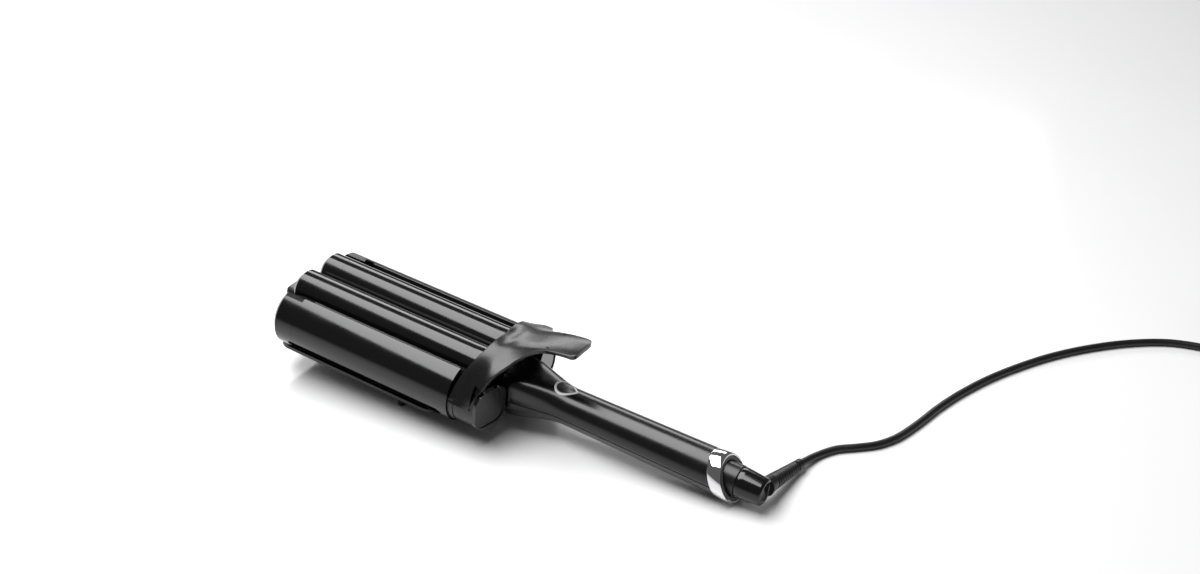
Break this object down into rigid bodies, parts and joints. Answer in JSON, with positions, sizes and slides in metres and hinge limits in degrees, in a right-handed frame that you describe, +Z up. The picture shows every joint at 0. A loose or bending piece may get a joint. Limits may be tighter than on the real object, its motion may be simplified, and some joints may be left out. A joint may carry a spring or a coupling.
{
  "type": "hair waver",
  "caption": "Hair waver with wavy clamping jaws, a sprung thumb lever, a flared handle with a power button and a mains cord on a swivel, resting on two small feet and its metal collar.",
  "frame": {"origin": "on the surface that the waver lies on, under the middle of the waver without its cord", "axes": "+X from the jaws' tip towards the cord, +Y to the side where the cord lies, +Z up; the handle's axis rises 4.67 degrees towards the tip"},
  "size_m": [0.712, 0.4578, 0.0719],
  "materials": {
    "gloss_black": "glossy black moulding",
    "satin_black": "satin black moulding",
    "plate_coating": "dark ceramic-coated aluminium",
    "heater_alloy": "plain",
    "heat_resistant_plastic": "matte",
    "screw_steel": "zinc plated",
    "pin_steel": "ground",
    "pin_nickel": "nickel plated",
    "foot_rubber": "matte",
    "cord_rubber": "satin black",
    "tie_fabric": "woven",
    "white_ring": "glossy white",
    "board_laminate": "coated laminate",
    "component_body": "moulded",
    "collar_metal": "polished",
    "grey_plastic": "satin grey"
  },
  "bodies": {
    "handle_and_lower_jaw": {"lower_casing": "gloss_black", "lower_tip_cap": "gloss_black", "bottom_cover": "satin_black", "cover_screws": "screw_steel", "rest_feet": "foot_rubber", "lower_hot_plate": "plate_coating", "lower_heaters": "heater_alloy", "heater_carrier": "heat_resistant_plastic", "hinge_yoke": "satin_black", "near_end_cap": "gloss_black", "far_end_cap": "gloss_black", "hinge_pins": "pin_steel", "hinge_springs": "pin_steel", "upper_handle_shell": "gloss_black", "lower_handle_shell": "gloss_black", "handle_screws": "screw_steel", "button_ring": "white_ring", "push_switch": "satin_black", "control_board": "board_laminate", "board_components": "component_body", "end_collar": "collar_metal", "collar_bush": "grey_plastic"},
    "upper_jaw": {"jaw_carrier": "satin_black", "upper_casing": "gloss_black", "upper_tip_cap": "gloss_black", "upper_hot_plate": "plate_coating", "upper_heaters": "heater_alloy", "thumb_lever": "gloss_black", "lever_screws": "screw_steel"},
    "button": {"power_button": "satin_black"},
    "swivel": {"swivel_shaft": "satin_black", "swivel_housing": "gloss_black", "strain_relief": "cord_rubber", "mains_cord": "cord_rubber", "cord_coil": "cord_rubber", "cord_tail": "cord_rubber", "cord_tie": "tie_fabric", "mains_plug": "cord_rubber", "plug_pins": "pin_nickel"}
  },
  "joints": [
    {"name": "jaw_hinge", "type": "hinge", "parent": "handle_and_lower_jaw", "child": "upper_jaw", "pos_m": [-0.00726, 0, 0.03263], "axis": [0, 1, 0], "range_deg": [0, 18], "stiffness_Nm_per_rad": 0.4, "springref_deg": -28.65},
    {"name": "button_press", "type": "slide", "parent": "handle_and_lower_jaw", "child": "button", "axis": [-0.0814, 0, -0.9967], "range_m": [0, 0.0008], "stiffness_N_per_m": 1500, "springref_m": -0.0008},
    {"name": "cord_swivel", "type": "hinge", "parent": "handle_and_lower_jaw", "child": "swivel", "pos_m": [0.15886, 0, 0.01505], "axis": [0.9967, 0, -0.0814], "continuous": true}
  ]
}
